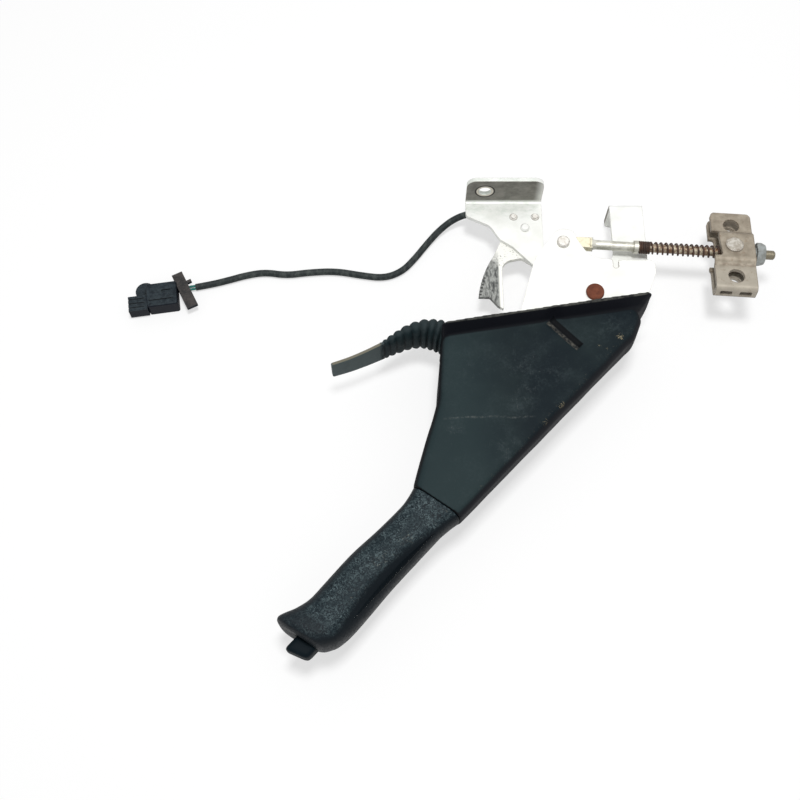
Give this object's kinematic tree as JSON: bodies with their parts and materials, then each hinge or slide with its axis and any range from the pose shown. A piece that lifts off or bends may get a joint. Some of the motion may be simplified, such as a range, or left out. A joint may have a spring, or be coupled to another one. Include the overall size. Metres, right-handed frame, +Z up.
{
  "type": "handbrake lever",
  "caption": "Handbrake lever with ratchet and pawl, release button, pull rod with spring, cable equalizer, boot, grip and warning switch lead",
  "frame": {"origin": "centre of the box round the lever without its lead and connector, on the plane that it lies on", "axes": "+Z up across the lever's thickness, +X from the grip's side towards the pull rod's end, +Y from the grip towards the mounting feet"},
  "size_m": [0.4439, 0.323, 0.062],
  "materials": {
    "zinc_steel": "zinc plated, dull, grey patina",
    "oiled_steel": "dark oily steel",
    "rusty_steel": "rusted",
    "rod_steel": "worn zinc",
    "spring_steel": "dark, rusted",
    "equalizer_steel": "worn, brown edges",
    "boot_plastic": "grained, scuffed",
    "grip_plastic": "leather grain, worn",
    "button_plastic": "satin",
    "switch_plastic": "black",
    "lead_sheath": "black, matte",
    "wire_colour": "green",
    "white_plastic": "off white"
  },
  "bodies": {
    "base": {"base_bracket": "zinc_steel", "ratchet_sector": "oiled_steel", "sector_rivets": "zinc_steel", "pivot_pin": "rusty_steel", "pivot_bush": "oiled_steel", "pivot_washer": "oiled_steel", "switch_body": "switch_plastic", "switch_screw": "zinc_steel", "lead": "lead_sheath", "lead_wires": "wire_colour", "connector_housing": "switch_plastic", "connector_plug": "switch_plastic", "round_clip": "switch_plastic", "locking_plate": "switch_plastic"},
    "lever": {"lever_channel": "zinc_steel", "rod_pin": "zinc_steel", "rod_pin_clip": "spring_steel", "rod_spacer_near": "rod_steel", "rod_spacer_far": "rod_steel", "pawl_pin": "zinc_steel", "pawl_bush": "oiled_steel", "pawl_spring": "spring_steel", "button_spring": "spring_steel", "spring_seat": "white_plastic", "button_guide": "switch_plastic", "grip": "grip_plastic", "boot": "boot_plastic"},
    "rod": {"tension_rod": "rod_steel", "rod_spring": "spring_steel"},
    "trunnion": {"trunnion": "rod_steel"},
    "equalizer": {"equalizer": "equalizer_steel"},
    "nut": {"adjusting_nut": "rod_steel"},
    "pawl": {"pawl": "oiled_steel"},
    "button": {"release_button": "button_plastic", "release_rod": "rod_steel"},
    "plunger": {"switch_plunger": "white_plastic"}
  },
  "joints": [
    {"name": "lever_pivot", "type": "hinge", "parent": "base", "child": "lever", "pos_m": [0.03605, 0.07565, 0.03], "axis": [0, 0, 1], "range_deg": [-37.5, 0]},
    {"name": "rod_hinge", "type": "hinge", "parent": "lever", "child": "rod", "pos_m": [0.01725, 0.11375, 0.0335], "axis": [0, 0, 1], "range_deg": [0, 37.5]},
    {"name": "trunnion_roll", "type": "hinge", "parent": "rod", "child": "trunnion", "pos_m": [0.13322, 0.112, 0.0335], "axis": [0.9976, -0.0698, 0], "range_deg": [-20, 20]},
    {"name": "equalizer_tilt", "type": "hinge", "parent": "trunnion", "child": "equalizer", "pos_m": [0.13322, 0.112, 0.0335], "axis": [0.0097, 0.1388, 0.9903], "range_deg": [-8, 8]},
    {"name": "adjusting_nut_spin", "type": "hinge", "parent": "rod", "child": "nut", "pos_m": [0.14888, 0.11091, 0.0335], "axis": [0.9976, -0.0698, 0], "continuous": true},
    {"name": "release_button_slide", "type": "slide", "parent": "lever", "child": "button", "axis": [0.6782, 0.7349, 0], "range_m": [0, 0.006], "stiffness_N_per_m": 600, "deforming": ["button_spring"]},
    {"name": "pawl_hinge", "type": "hinge", "parent": "lever", "child": "pawl", "pos_m": [-0.04795, 0.03365, 0.021], "axis": [0, 0, 1], "range_deg": [0, 6.5], "deforming": ["pawl_spring"]},
    {"name": "switch_plunger_slide", "type": "slide", "parent": "base", "child": "plunger", "axis": [0.5592, 0.829, 0], "range_m": [0, 0.003], "stiffness_N_per_m": 300}
  ],
  "couplings": [
    {"joint": "rod_hinge", "follows": "lever_pivot", "ratio": -1},
    {"joint": "pawl_hinge", "follows": "release_button_slide", "rad_per_m": 18.87}
  ]
}
